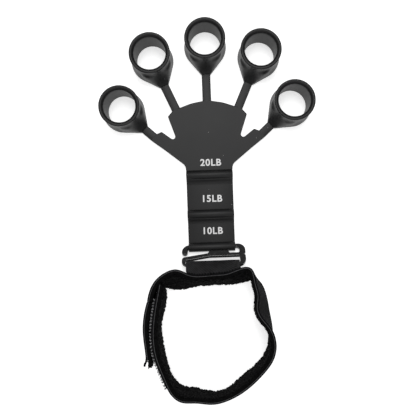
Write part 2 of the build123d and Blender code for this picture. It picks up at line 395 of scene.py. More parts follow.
@dataclass
class Finishes:
    """Every finish on the object, made once."""
    silicone: bpy.types.Material = field(default_factory=lambda: MouldedSilicone().make())
    enamel: bpy.types.Material = field(default_factory=lambda: BlackEnamel().make())
    # Knitted nylon: fine ribs 0.9 mm apart, drawn coarser than they are so that they show; their
    # lighter tone on the raised threads is painted highlight.
    nylon: bpy.types.Material = field(default_factory=lambda: Cloth(
        "knitted nylon", "0c0c0d", "171719", 0.9 * MM, 0.0, 0.00012, 0.8, 0.02).make())
    # Twill webbing: ribs on the slant, 1.5 mm apart, coarser than they are so that they show; the
    # light ribs are painted highlight, the dark grooves painted shade.
    twill: bpy.types.Material = field(default_factory=lambda: Cloth(
        "twill webbing", "030303", "2b2b2d", 1.5 * MM, 35.0, 0.0006, 0.6, 0.2).make())
    plush: bpy.types.Material = field(default_factory=lambda: Fibre(
        "loop plush", "020202", "111112", 1.1 * MM, 0.95, 0.1, 0.0005).make())
    backing: bpy.types.Material = field(default_factory=lambda: Fibre(
        "laminated backing", "343435", "5a5a5c", 0.9 * MM, 0.6, 0.2, 0.00005).make())
    tape: bpy.types.Material = field(default_factory=lambda: Fibre(
        "tape ground", "080809", "161617", 0.7 * MM, 0.7, 0.2, 0.0001).make())
    # Hook bristles: their light grey is partly the translucent nylon's own grey and partly painted
    # glint.
    bristle: bpy.types.Material = field(default_factory=lambda: Fibre(
        "nylon monofilament with painted glint", "6a6a6c", "b8b8ba", 3.0 * MM, 0.25, 0.5).make())
    thread: bpy.types.Material = field(default_factory=lambda: Fibre(
        "sewing thread", "101011", "2b2b2c", 0.4 * MM, 0.6, 0.2, 0.00005).make())
    ink: bpy.types.Material = field(default_factory=lambda: Ink().make())


# ---- the silicone hand --------------------------------------------------------------------

@dataclass
class Hand:
    """The silicone moulding: palm, strap, tunnels, arms and rings."""
    finishes: Finishes
    edge: float = 0.55 * MM          # rounding of the strap's and the arms' edges
    plate_edge: float = 0.3 * MM     # rounding of the palm's edges, less than its smallest corner
    broad: float = 100 * MM ** 2     # a face larger than this is the plate's top or underside
    short_edge: float = 0.16 * MM    # shorter edges in the palm's outline are closed up
    fillet_rise: float = 1.7 * MM    # the strap climbs to the foot of each tunnel by this much
    fillet_run: float = 3.4 * MM     # and over this length
    tuck: float = 0.6 * MM           # a sheet starts this far inside what it joins
    slit: float = 0.3 * MM           # the CAD's clear gap at each flex line
    neck_inner: float = 0.88         # the neck's blend starts at this share of the ring's radius
    neck_end: float = 1.6 * MM       # and stays this far from the crease, the floor and the rim
    neck_passes: int = 70            # how far the neck is smoothed into the ring
    mould_relax: int = 10            # how far the moulding rounds a ring's edges
    flex_run: float = 5.0 * MM       # a flexing strap bends over this length
    rim: float = 0.35 * MM           # rounding of the tunnels' ends
    letter: float = 6.3 * MM         # height of the printed line
    letter_bold: float = 0.15 * MM   # how much its strokes are thickened
    letter_space: float = 1.12       # spacing of its letters
    ink_half: float = 0.03 * MM      # half the ink's thickness
    ink_lift: float = 0.04 * MM      # its middle's height over the silicone
    ink_turn: float = -0.8           # how far it is turned, in degrees
    fingers: int = 5
    voxel: float = 0.42 * MM         # detail of the rings
    home_y: float = -24.8            # the lower tunnel, in the hand's own millimetres

    def place(self, x: float, y: float, z: float = 0.0) -> Vector:
        """A point in the hand's own millimetres, in the frame.

        Args:
            x: across the hand.
            y: along the hand.
            z: up.

        Returns:
            The point in metres.
        """
        home = middle_of("tunnel_lower")
        return Vector((home.x + x * MM, home.y + (y - self.home_y) * MM, z * MM))

    def sheet_thickness(self) -> float:
        """Measure the silicone sheet.

        Returns:
            Its thickness.
        """
        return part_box("palm_plate")[1].z

    def soften(self, bm: bmesh.types.BMesh, keep: list[tuple[Vector, Vector]] = ()) -> None:
        """Round the outer edges of a flat-sided copy.

        Args:
            bm: the mesh, changed in place.
            keep: planes, each a point and a normal, whose edges stay sharp.
        """
        bmesh.ops.dissolve_limit(bm, angle_limit=math.radians(1.0), verts=bm.verts[:],
                                 edges=bm.edges[:])
        bmesh.ops.remove_doubles(bm, verts=bm.verts[:], dist=self.short_edge)

        def kept(edge: bmesh.types.BMEdge) -> bool:
            """Tell whether an edge lies in one of the planes.

            Args:
                edge: the edge.

            Returns:
                True when it does.
            """
            return any(all(abs((v.co - point).dot(normal)) < 2e-5 and (v.co - point).length < 0.02
                           for v in edge.verts) for point, normal in keep)

        sharp = [e for e in bm.edges if len(e.link_faces) == 2
                 and e.calc_face_angle() > math.radians(50) and not kept(e)]
        bmesh.ops.bevel(bm, geom=sharp, offset=self.plate_edge, segments=3, profile=0.5,
                        affect="EDGES", material=-1)
        for face in bm.faces:
            if face.calc_area() > self.broad:
                for vert in face.verts:
                    vert.co.z = self.sheet_thickness() if face.normal.z > 0 else 0.0

    def arm_frame(self, number: int) -> tuple[Vector, Vector, Vector]:
        """An arm's start at the palm, its direction and the flex axis's place.

        Args:
            number: the finger.

        Returns:
            Start on the sheet's underside, unit direction outwards, and the hinge's point.
        """
        out = Vector(joint(f"finger_stretch_{number}")["axis"]).normalized()
        hinge = Vector(joint(f"finger_curl_{number}")["pos_m"])
        start = hinge - out * (self.sheet_thickness() / 2 + self.slit)
        return Vector((start.x, start.y, 0)), out, hinge

    def bar(self, start: Vector, end: Vector, width: float, cuts: int) -> bmesh.types.BMesh:
        """A length of flat silicone with rounded long edges and plain ends.

        Args:
            start: middle of its first end, on the underside.
            end: middle of its last end, on the underside.
            width: its width.
            cuts: how many cross cuts it gets, so that it can bend.

        Returns:
            The mesh.
        """
        along = end - start
        thick = self.sheet_thickness()
        bm = bmesh.new()
        bmesh.ops.create_cube(bm, size=1.0)
        long_edges = [e for e in bm.edges if abs(e.verts[0].co.x - e.verts[1].co.x) > 0.5]
        bmesh.ops.scale(bm, verts=bm.verts[:], vec=(along.length, width, thick))
        bmesh.ops.bevel(bm, geom=long_edges, offset=self.edge, segments=3, profile=0.5,
                        affect="EDGES", material=-1)
        for i in range(cuts):
            x = along.length * ((i + 1) / (cuts + 1) - 0.5)
            bmesh.ops.bisect_plane(bm, geom=bm.verts[:] + bm.edges[:] + bm.faces[:],
                                   plane_co=(x, 0, 0), plane_no=(1, 0, 0))
        turn = Matrix.Rotation(math.atan2(along.y, along.x), 4, "Z")
        middle = (start + end) / 2 + Vector((0, 0, thick / 2))
        bmesh.ops.transform(bm, matrix=Matrix.Translation(middle) @ turn, verts=bm.verts[:])
        return bm

    def build_palm(self) -> None:
        """Make the palm from the CAD plate, with rounded edges except where the arms leave."""
        bm = cad_copy("palm_plate")
        roots = []
        for number in range(1, self.fingers + 1):
            start, out, _ = self.arm_frame(number)
            roots.append((start, out))
        self.soften(bm, roots)
        piece = finish_mesh("palm_sheet", bm, self.finishes.silicone)
        for face in piece.data.polygons:
            face.use_smooth = face.area < self.broad
        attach(piece, "palm")
        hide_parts("palm_plate")

    def build_tunnels(self) -> None:
        """Make the three cross tunnels from the CAD ones, with rounded ends."""
        for name, body in (("upper", "palm"), ("middle", "strap_middle"),
                           ("lower", "strap_lower")):
            bm = cad_copy(f"tunnel_{name}")
            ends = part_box(f"tunnel_{name}")
            bmesh.ops.dissolve_limit(bm, angle_limit=math.radians(0.5), verts=bm.verts[:],
                                     edges=bm.edges[:])
            rims = [e for e in bm.edges if len(e.link_faces) == 2
                    and e.calc_face_angle() > math.radians(60)
                    and all(min(abs(v.co.x - ends[0].x), abs(v.co.x - ends[1].x)) < 1e-5
                            for v in e.verts)]
            bmesh.ops.bevel(bm, geom=rims, offset=self.rim, segments=2, profile=0.5,
                            affect="EDGES", material=-1)
            piece = finish_mesh(f"strap_ridge_{name}", bm, self.finishes.silicone)
            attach(piece, body)
            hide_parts(f"tunnel_{name}")

    def build_strap(self) -> None:
        """Make the two strap panels, each climbing at its top to the foot of the tunnel above it.
        """
        for name, above, below, first, last in (
                ("middle", "tunnel_upper", "tunnel_middle", "palm", "strap_middle"),
                ("lower", "tunnel_middle", "tunnel_lower", "strap_middle", "strap_lower")):
            low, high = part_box(f"strap_panel_{name}")
            top_y, end_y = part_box(above)[0].y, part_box(below)[1].y
            x = (low.x + high.x) / 2
            bm = self.bar(Vector((x, top_y + self.tuck, 0)), Vector((x, end_y, 0)),
                          high.x - low.x, 39)
            for vert in bm.verts:
                share = 1 - (top_y - vert.co.y) / self.fillet_run
                if vert.co.z > self.sheet_thickness() / 2 and share > 0:
                    vert.co.z += self.fillet_rise * min(share, 1.0) ** 2
            piece = finish_mesh(f"strap_sheet_{name}", bm, self.finishes.silicone)
            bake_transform(piece)
            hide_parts(f"strap_panel_{name}")

    def build_arms(self) -> None:
        """Make each arm in two lengths: a short one at the palm and the rest out to its neck."""
        for number in range(1, self.fingers + 1):
            start, out, hinge = self.arm_frame(number)
            across = [v.co.dot(out.cross(Vector((0, 0, 1)))) for v in
                      frame["nodes"][f"finger_arm_{number}"].data.vertices]
            width = max(across) - min(across)
            reach = self.arm_reach(number)
            split = start + out * min(2.1 * (hinge - start).dot(out), reach / 2)
            end = start + out * reach
            root = finish_mesh(f"arm_root_{number}", self.bar(start, split, width, 9),
                               self.finishes.silicone)
            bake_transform(root)
            band = finish_mesh(f"arm_band_{number}", self.bar(split, end, width, 15),
                               self.finishes.silicone)
            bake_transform(band)
            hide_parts(f"finger_arm_{number}")

    def arm_reach(self, number: int) -> float:
        """Measure an arm from its start at the palm to the crease where its neck begins.

        Args:
            number: the finger.

        Returns:
            The length.
        """
        start, out, _ = self.arm_frame(number)
        return self.slit + max((v.co - start).dot(out) for v in
                               frame["nodes"][f"finger_arm_{number}"].data.vertices)

    def build_rings(self) -> None:
        """Make each ring and its neck as one soft moulding."""
        for number in range(1, self.fingers + 1):
            bm = cad_copy(f"finger_ring_{number}", f"finger_neck_{number}")
            piece = finish_mesh(f"finger_sleeve_{number}", bm, self.finishes.silicone,
                                180.0, recalc=False)
            mould = piece.modifiers.new("mould", "REMESH")
            mould.mode = "VOXEL"
            mould.voxel_size = self.voxel
            mould.use_smooth_shade = True
            relax = piece.modifiers.new("relax", "SMOOTH")
            relax.factor, relax.iterations = 0.5, self.mould_relax
            apply_modifiers(piece)
            self.blend_neck(piece, number)
            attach(piece, f"ring_{number}")
            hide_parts(f"finger_ring_{number}", f"finger_neck_{number}")

    def blend_neck(self, piece: bpy.types.Object, number: int) -> None:
        """Run a ring's neck smoothly into its wall, as a moulding does.

        Args:
            piece: the ring with its neck, changed in place.
            number: the finger.
        """
        low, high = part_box(f"finger_ring_{number}")
        centre = (low + high) / 2
        _, out, _ = self.arm_frame(number)
        wall = (high.x - low.x) / 2 * self.neck_inner
        crease = (centre - self.arm_frame(number)[0]).dot(out) - self.arm_reach(number)
        bm = bmesh.new()
        bm.from_mesh(piece.data)
        soft = []
        for vert in bm.verts:
            side = vert.co - centre
            back = -side.dot(out)
            side.z = 0
            if (side.length > wall and 0 < back < crease - self.neck_end
                    and self.neck_end < vert.co.z < high.z - self.neck_end):
                soft.append(vert)
        for _ in range(self.neck_passes):
            bmesh.ops.smooth_vert(bm, verts=soft, factor=0.5, use_axis_x=True, use_axis_y=True,
                                  use_axis_z=True)
        bm.to_mesh(piece.data)
        bm.free()
        piece.data.shade_smooth()

    def build_print(self) -> None:
        """Print a plain round weight above each tunnel."""
        top = self.sheet_thickness()
        for words, x, y, body in (("20LB", 1.1, 31.8, "palm"), ("15LB", 1.0, 7.5, "strap_middle"),
                                  ("10LB", 0.7, -14.2, "strap_lower")):
            curve = bpy.data.curves.new(f"print_{words}", "FONT")
            curve.body = words
            curve.align_x = curve.align_y = "CENTER"
            curve.size = self.letter
            curve.offset = self.letter_bold
            curve.space_character = self.letter_space
            curve.extrude = self.ink_half
            text = bpy.data.objects.new("print_draft", curve)
            bpy.context.scene.collection.objects.link(text)
            bpy.context.view_layer.update()
            mesh = bpy.data.meshes.new_from_object(
                text.evaluated_get(bpy.context.evaluated_depsgraph_get()))
            bpy.data.objects.remove(text)
            bm = bmesh.new()
            bm.from_mesh(mesh)
            bpy.data.meshes.remove(mesh)
            spot = self.place(x, y) + Vector((0, 0, top + self.ink_lift))
            bmesh.ops.transform(bm, matrix=Matrix.Translation(spot) @ Matrix.Rotation(
                math.radians(self.ink_turn), 4, "Z"), verts=bm.verts[:])
            piece = finish_mesh(f"weight_print_{words.lower()}", bm, self.finishes.ink)
            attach(piece, body)

    def build(self) -> None:
        """Make the whole hand."""
        self.build_palm()
        self.build_tunnels()
        self.build_strap()
        self.build_arms()
        self.build_rings()
        self.build_print()
        LOG.info("silicone hand made")


def apply_modifiers(obj: bpy.types.Object) -> None:
    """Replace an object's mesh by what its modifiers make of it.

    Args:
        obj: the object, changed in place.
    """
    bpy.context.view_layer.update()
    depsgraph = bpy.context.evaluated_depsgraph_get()
    mesh = bpy.data.meshes.new_from_object(obj.evaluated_get(depsgraph))
    old = obj.data
    obj.modifiers.clear()
    obj.data = mesh
    bpy.data.meshes.remove(old)
    mesh.name = obj.name


# ---- the hook -------------------------------------------------------------------------------

@dataclass
class GHook:
    """The metal G-hook, whose CAD shape is right as it is."""
    finishes: Finishes

    def build(self) -> None:
        """Make the hook from the CAD one, shaded smooth over its rounded edges."""
        bm = cad_copy("g_hook")
        piece = finish_mesh("hook_casting", bm, self.finishes.enamel, 35.0, recalc=False)
        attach(piece, "hook")
        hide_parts("g_hook")
        LOG.info("hook made")


# ---- the wrist band -------------------------------------------------------------------------

class StripLine:
    """The line that a strip standing on its edge follows, taken from its CAD layers.

    The line is the seam between the strip's outer fabric and its lining. A place on the strip is
    how far along it is, in metres, how far up from 0 to 1, and how far outwards of the seam.
    """

    def __init__(self, outer: str, lining: str, near: Vector, beside: StripEnd) -> None:
        """Find the seam at the strip's foot and at its top.

        Args:
            outer: the CAD node of the outer fabric.
            lining: the CAD node of the lining.
            near: a point beside one end of the strip.
            beside: which end of the strip that is.
        """
        low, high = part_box(outer)
        self.width = high.z - low.z
        seams = [self.seam(outer, lining, z) for z in (low.z, high.z)]
        for seam in seams:
            starts = (seam[0] - near).length < (seam[-1] - near).length
            if starts != (beside is StripEnd.START):
                seam.reverse()
        lengths = [sum((q - p).length for p, q in zip(seam, seam[1:])) for seam in seams]
        self.length = sum(lengths) / 2
        self.steps = round(self.length / MM)
        self.feet, self.tops = (self.even(seam, length) for seam, length in zip(seams, lengths))

    def seam(self, outer: str, lining: str, z: float) -> list[Vector]:
        """The long side of one flat end face that lies against the lining.

        Args:
            outer: the CAD node of the outer fabric.
            lining: the CAD node of the lining.
            z: the height of the face.

        Returns:
            Its points in order, on the floor.
        """
        bm = cad_copy(outer)
        flat = {f for f in bm.faces if all(abs(v.co.z - z) < 1e-6 for v in f.verts)}
        rim = [e for e in bm.edges if sum(f in flat for f in e.link_faces) == 1]
        beside = {}
        for edge in rim:
            for v in edge.verts:
                beside.setdefault(v, []).append(edge.other_vert(v))
        vert, before = rim[0].verts[0], None
        loop = []
        while not loop or vert != loop[0]:
            loop.append(vert)
            step = next(v for v in beside[vert] if v != before)
            vert, before = step, vert
        points = [Vector((v.co.x, v.co.y, 0)) for v in loop]
        bm.free()
        count = len(points)
        corners = [i for i in range(count) if (points[i] - points[i - 1]).angle(
            points[(i + 1) % count] - points[i]) > math.radians(50)]
        sides = []
        for i, j in zip(corners, corners[1:] + [corners[0] + count]):
            sides.append([points[k % count] for k in range(i, j + 1)])
        plush = [Vector((v.co.x, v.co.y, 0)) for v in frame["nodes"][lining].data.vertices
                 if abs(v.co.z - z) < 1e-6]
        long_sides = sorted(sides, key=len)[-2:]

        def gap(side: list[Vector]) -> float:
            """Measure how far the middle of a side is from the lining.

            Args:
                side: its points.

            Returns:
                The distance.
            """
            return min((p - side[len(side) // 2]).length for p in plush)

        return min(long_sides, key=gap)

    def even(self, seam: list[Vector], length: float) -> list[Vector]:
        """Space a seam's points evenly, and smooth out its facets.

        Args:
            seam: the points.
            length: the seam's length.

        Returns:
            One more point than there are steps.
        """
        spaced, i, passed = [], 0, 0.0
        for k in range(self.steps + 1):
            want = length * k / self.steps
            while i < len(seam) - 2 and passed + (seam[i + 1] - seam[i]).length < want:
                passed += (seam[i + 1] - seam[i]).length
                i += 1
            run = (seam[i + 1] - seam[i]).length
            spaced.append(seam[i].lerp(seam[i + 1], min(1.0, (want - passed) / run)))
        inner = [(a + 2 * b + c) / 4 for a, b, c in zip(spaced, spaced[1:], spaced[2:])]
        return [spaced[0], *inner, spaced[-1]]

    def on_line(self, points: list[Vector], s: float) -> Vector:
        """A point along one edge, which runs straight on beyond its ends.

        Args:
            points: that edge's points.
            s: how far along, in metres.

        Returns:
            The point, on the floor.
        """
        place = s / self.length * self.steps
        i = min(max(int(place), 0), self.steps - 1)
        return points[i] + (points[i + 1] - points[i]) * (place - i)

    def at(self, s: float, v: float, out: float = 0.0) -> Vector:
        """A point on the strip or beside it.

        Args:
            s: how far along, in metres.
            v: how far up, from 0 at the foot to 1 at the top.
            out: how far outwards of the seam.

        Returns:
            The point in the frame.
        """
        here, ahead, back = (self.on_line(self.feet, t).lerp(self.on_line(self.tops, t), v)
                             for t in (s, s + MM, s - MM))
        run = (ahead - back).normalized()
        return here + Vector((run.y, -run.x, 0)) * out + Vector((0, 0, self.width * v))

    def where(self, axis: int, value: float, v: float, first: float, last: float) -> float:
        """Where the strip passes a place, by its X or its Y.

        Args:
            axis: 0 for X, 1 for Y.
            value: the place.
            v: how far up the strip.
            first: the start of the stretch that is searched.
            last: its end.

        Returns:
            How far along, in metres.
        """
        tries = [first + (last - first) * i / 400 for i in range(401)]
        return min(tries, key=lambda s: abs(self.at(s, v)[axis] - value))


@dataclass
class WristBand:
    """The band and its tail: outer nylon, plush lining, hook tape, sleeve and stitching."""
    finishes: Finishes
    webbing: float = 1.2 * MM        # thickness of the outer fabric
    lining: float = 2.0 * MM         # thickness of the plush
    pile: float = 0.7 * MM          # how far the plush's lumps stand up and sink
    pile_step: float = 0.5 * MM      # size of the plush's faces
    tape: float = 1.6 * MM           # thickness of the hook tape with its hooks
    tape_ground: float = 0.5 * MM    # thickness of its ground
    bristle: float = 0.23 * MM       # half the thickness of one hook of it
    hook_pitch: float = 1.9 * MM     # spacing of the tape's hooks
    fray: float = 1.4 * MM           # how uneven the tail's cut end is
    splay: float = 1.6 * MM          # how far apart the tail's layers stand at the cut end
    frayed: float = 6.0 * MM         # length of the tail that frays
    seam_half: float = 0.012         # half the height of the pale seam, as a share of the width
    seam_in: float = 0.05 * MM       # the seam starts this far inside the lining
    seam_out: float = 0.30 * MM      # and reaches this far out on the outer fabric
    seam_short: float = 2.5 * MM     # it stops this far from the frayed end
    sleeve: float = 1.0 * MM         # thickness of the sleeve
    sleeve_wave: float = 0.1 * MM    # how uneven the sleeve lies
    sleeve_lump: float = 6.0 * MM    # size of its unevenness
    sleeve_step: float = 0.8 * MM    # width of its faces
    sleeve_in: float = 0.3           # its lower end lies this far into the outer fabric
    sleeve_up: float = 0.01          # its lower end is this far above the tape's lower edge
    stitch_pitch: float = 2.6 * MM   # from one stitch to the next
    tape_margin: float = 1.2 * MM    # the tape's stitching stays this far from its ends

    def __post_init__(self) -> None:
        """Work out the lines that the layers follow."""
        corner = Vector(joint("tail_peel")["pos_m"])
        corner.z = 0
        self.line = StripLine("band_webbing", "band_lining", corner, StripEnd.FINISH)
        self.tail_line = StripLine("tail_webbing", "tail_lining", corner, StripEnd.START)
        low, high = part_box("hook_tape")
        self.tape_low = low.z / self.line.width
        self.tape_high = high.z / self.line.width
        left = self.line.length / 3
        self.tape_start = self.line.where(1, high.y, 0.5, 0.0, left)
        self.tape_end = self.line.where(1, low.y, 0.5, 0.0, left)
        self.tape_top = self.webbing + self.tape
        self.rng = random.Random(7)

    def sheet(self, line: StripLine, section: list[tuple[float, float]], start: float, end: float,
              spacing: float) -> bmesh.types.BMesh:
        """Sweep a closed section along the strip, with a UV map in metres.

        Args:
            line: the strip's line.
            section: its points in order, each how far up and how far outwards.
            start: where it starts, along the line.
            end: where it ends.
            spacing: the length of its faces.

        Returns:
            The mesh, capped at both ends.
        """
        columns = max(2, round((end - start) / spacing))
        bm = bmesh.new()
        uv = bm.loops.layers.uv.new("UVMap")
        rings = []
        for i in range(columns + 1):
            s = start + (end - start) * i / columns
            rings.append([bm.verts.new(line.at(s, v, out)) for v, out in section])
        marks = [0.0]
        for (v0, out0), (v1, out1) in zip(section, section[1:] + section[:1]):
            marks.append(marks[-1] + math.hypot((v1 - v0) * line.width, out1 - out0))
        count = len(section)
        for i in range(columns):
            for k in range(count):
                face = bm.faces.new((rings[i][k], rings[i + 1][k], rings[i + 1][(k + 1) % count],
                                     rings[i][(k + 1) % count]))
                for loop, (di, dk) in zip(face.loops, ((0, 0), (1, 0), (1, 1), (0, 1))):
                    loop[uv].uv = (start + (end - start) * (i + di) / columns, marks[k + dk])
        bm.faces.new(rings[0])
        bm.faces.new(rings[-1])
        bmesh.ops.recalc_face_normals(bm, faces=bm.faces[:])
        return bm

    def section(self, low: float, high: float, inner: float, outer: float, spacing: float,
                edge: float) -> list[tuple[float, float]]:
        """The closed section of a layer, with rounded edges.

        Args:
            low: its lower edge, from 0 to 1.
            high: its upper edge, from 0 to 1.
            inner: its inner face, outwards of the seam.
            outer: its outer face, outwards of the seam.
            spacing: the height of its faces.
            edge: the rounding of its edges.

        Returns:
            Its points in order.
        """
        width = self.line.width
        rows = max(2, round((high - low) * width / spacing))
        cut = edge / width
        rising = [low + cut + (high - low - 2 * cut) * i / rows for i in range(rows + 1)]
        across = [inner + edge + (outer - inner - 2 * edge) * t for t in (0.0, 0.5, 1.0)]
        return ([(v, outer) for v in rising] + [(high, out) for out in reversed(across)]
                + [(v, inner) for v in reversed(rising)] + [(low, out) for out in across])

    def cut_end(self, bm: bmesh.types.BMesh, line: StripLine, splay: float,
                longer: float = 0.0) -> None:
        """Fray a layer's far end, and bend it outwards there.

        Args:
            bm: the layer, changed in place.
            line: its line.
            splay: how far outwards the very end stands.
            longer: how much the end is drawn out.
        """
        tip = line.at(line.length, 0.5)
        run = (tip - line.at(line.length - MM, 0.5)).normalized()
        side = Vector((run.y, -run.x, 0))
        for vert in bm.verts:
            reach = (vert.co - tip).dot(run)
            if reach > -self.frayed:
                share = 1 + reach / self.frayed
                ragged = noise.noise(vert.co / (2.2 * MM)) + 0.5 * noise.noise(vert.co / (0.7 * MM))
                vert.co += (run * (ragged * self.fray + longer) * share ** 4
                            + side * splay * share ** 2)

    def build_webbing(self) -> None:
        """Make the outer fabric of the band and of the tail, and the pale seam along its top."""
        for name, line, first in (("band", self.line, 0.0), ("tail", self.tail_line, 0.3 * MM)):
            section = self.section(0.0, 1.0, 0.05 * MM, self.webbing, 1.0 * MM, 0.25 * MM)
            bm = self.sheet(line, section, first, line.length, 1.0 * MM)
            if name == "tail":
                self.cut_end(bm, line, self.splay)
            piece = finish_mesh(f"{name}_nylon", bm, self.finishes.nylon)
            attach(piece, name)
            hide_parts(f"{name}_webbing")
            for edge, v in (("upper", 1.0), ("lower", 0.0)):
                below, above = v - self.seam_half, v + self.seam_half
                rim = [(below, self.seam_out), (below, -self.seam_in), (above, -self.seam_in),
                       (above, self.seam_out)]
                end = line.length - (self.seam_short if name == "tail" else 0.0)
                bead = self.sheet(line, rim, first, end, 1.0 * MM)
                piece = finish_mesh(f"{name}_{edge}_seam", bead, self.finishes.backing)
                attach(piece, name)

    def build_plush(self) -> None:
        """Make the lining's standing pile, lumpy as it is when it has been worn."""
        for name, line, first in (("band", self.line, 0.0), ("tail", self.tail_line, 0.3 * MM)):
            section = self.section(0.0, 1.0, -self.lining, -0.05 * MM, self.pile_step, 0.35 * MM)
            bm = self.sheet(line, section, first, line.length, self.pile_step)
            bm.normal_update()
            moves = []
            for vert in bm.verts:
                clump = noise.noise(vert.co / (1.9 * MM))
                loops = noise.noise(vert.co / (0.75 * MM) + Vector((9, 4, 2)))
                moves.append(vert.normal * self.pile * (0.9 * clump + 0.8 * loops))
            for vert, move in zip(bm.verts, moves):
                vert.co += move
                vert.co.z = max(vert.co.z, 0.0)
            if name == "tail":
                self.cut_end(bm, line, -0.3 * MM, 1.6 * MM)
            piece = finish_mesh(f"{name}_plush", bm, self.finishes.plush, 180.0)
            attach(piece, name)
            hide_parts(f"{name}_lining")
            self.build_tufts(name, line, first)

    def build_tufts(self, name: str, line: StripLine, first: float) -> None:
        """Scatter small loops of pile that stand proud of the plush.

        Args:
            name: the strip.
            line: its line.
            first: where it starts.
        """
        bm = bmesh.new()
        for _ in range(round(line.length / (0.11 * MM))):
            s = self.rng.uniform(first, line.length)
            v = self.rng.choice((self.rng.random(), self.rng.uniform(0.9, 1.0)))
            spot = line.at(s, v, -self.lining - self.rng.uniform(0.0, 0.35) * MM)
            size = self.rng.uniform(0.22, 0.5) * MM
            turn = Matrix.Rotation(self.rng.uniform(0, math.tau), 4, Vector(
                (self.rng.uniform(-1, 1), self.rng.uniform(-1, 1), self.rng.uniform(-1, 1))))
            shape = Matrix.Diagonal((size, size * 0.5, size * 0.75, 1.0))
            spot.z = max(spot.z, size)
            bmesh.ops.create_icosphere(bm, subdivisions=1, radius=1.0,
                                       matrix=Matrix.Translation(spot) @ turn @ shape)
        piece = finish_mesh(f"{name}_pile_loops", bm, self.finishes.plush, 180.0)
        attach(piece, name)

    def build_tape(self) -> None:
        """Make the hook tape: its ground, its rows of small hooks and its stitching."""
        section = self.section(self.tape_low, self.tape_high, self.webbing,
                               self.webbing + self.tape_ground, 1.0 * MM, 0.15 * MM)
        bm = self.sheet(self.line, section, self.tape_start, self.tape_end, 1.0 * MM)
        ground = finish_mesh("tape_ground", bm, self.finishes.tape)
        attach(ground, "band")
        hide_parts("hook_tape")
        bm = bmesh.new()
        columns = round((self.tape_end - self.tape_start) / self.hook_pitch)
        rows = round((self.tape_high - self.tape_low) * self.line.width / self.hook_pitch)
        for i in range(columns):
            for k in range(rows + 1):
                s = self.tape_start + (i + 0.5 + self.rng.uniform(-0.15, 0.15)) * self.hook_pitch
                v = self.tape_low + (self.tape_high - self.tape_low) * (k / rows * 0.97 + 0.015)
                self.add_hook(bm, s, v)
        hooks = finish_mesh("tape_hooks", bm, self.finishes.bristle, 180.0)
        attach(hooks, "band")
        self.stitch("tape_stitch", [
            (self.line, s, v, self.webbing + self.tape_ground)
            for s, v in self.rectangle(self.tape_start + self.tape_margin,
                                       self.tape_end - self.tape_margin,
                                       self.tape_low + self.tape_margin / self.line.width,
                                       self.tape_high - self.tape_margin / self.line.width)])

    def add_hook(self, bm: bmesh.types.BMesh, s: float, v: float) -> None:
        """Add one bent bristle to the hook tape.

        Args:
            bm: the mesh it goes in.
            s: how far along the band.
            v: how far up the band.
        """
        height = self.tape_top - self.webbing - self.tape_ground
        lean = self.rng.choice((-1, 1)) * self.rng.uniform(0.5, 1.0)
        foot = self.webbing + self.tape_ground - 0.05 * MM
        path = [(0.0, 0.0), (0.05, 0.6), (0.25, 1.05), (0.55, 1.1), (0.7, 0.8)]
        rings = []
        for across, up in path:
            middle = self.line.at(s + across * lean * height, v, foot + up * height)
            ahead = (self.line.at(s + MM, v) - self.line.at(s, v)).normalized()
            rings.append([bm.verts.new(middle + (ahead * a + Vector((0, 0, b))) * self.bristle)
                          for a, b in ((1, 1), (-1, 1), (-1, -1), (1, -1))])
        for near, far in zip(rings, rings[1:]):
            for k in range(4):
                bm.faces.new((near[k], near[(k + 1) % 4], far[(k + 1) % 4], far[k]))
        bm.faces.new(rings[-1])
        bm.faces.new(rings[0])

    def rectangle(self, s0: float, s1: float, v0: float, v1: float) -> list[tuple[float, float]]:
        """Stitch places round a rectangle on the strip.

        Args:
            s0: its start, along the strip.
            s1: its end.
            v0: its lower side.
            v1: its upper side.

        Returns:
            Pairs of places, the two ends of each stitch in turn.
        """
        corners = [(s0, v0), (s1, v0), (s1, v1), (s0, v1), (s0, v0)]
        places = []
        for (sa, va), (sb, vb) in zip(corners, corners[1:]):
            run = math.hypot(sb - sa, (vb - va) * self.line.width)
            count = max(1, round(run / self.stitch_pitch))
            for i in range(count):
                for t in (i + 0.12, i + 0.82):
                    places.append((sa + (sb - sa) * t / count, va + (vb - va) * t / count))
        return places

    def stitch(self, name: str, places: list[tuple[StripLine, float, float, float]]) -> None:
        """Sew a row of stitches on the band.

        Args:
            name: the row's name.
            places: line, distance along, height and distance outwards, two for each stitch.
        """
        bm = bmesh.new()
        for first, last in zip(places[::2], places[1::2]):
            a, b = (line.at(s, v, out + 0.08 * MM) for line, s, v, out in (first, last))
            way = b - a
            turn = way.to_track_quat("X", "Z").to_matrix().to_4x4()
            shape = Matrix.Diagonal((way.length / 2, 0.24 * MM, 0.2 * MM, 1.0))
            bmesh.ops.create_icosphere(bm, subdivisions=1, radius=1.0,
                                       matrix=Matrix.Translation((a + b) / 2) @ turn @ shape)
        piece = finish_mesh(name, bm, self.finishes.thread, 180.0)
        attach(piece, "band")

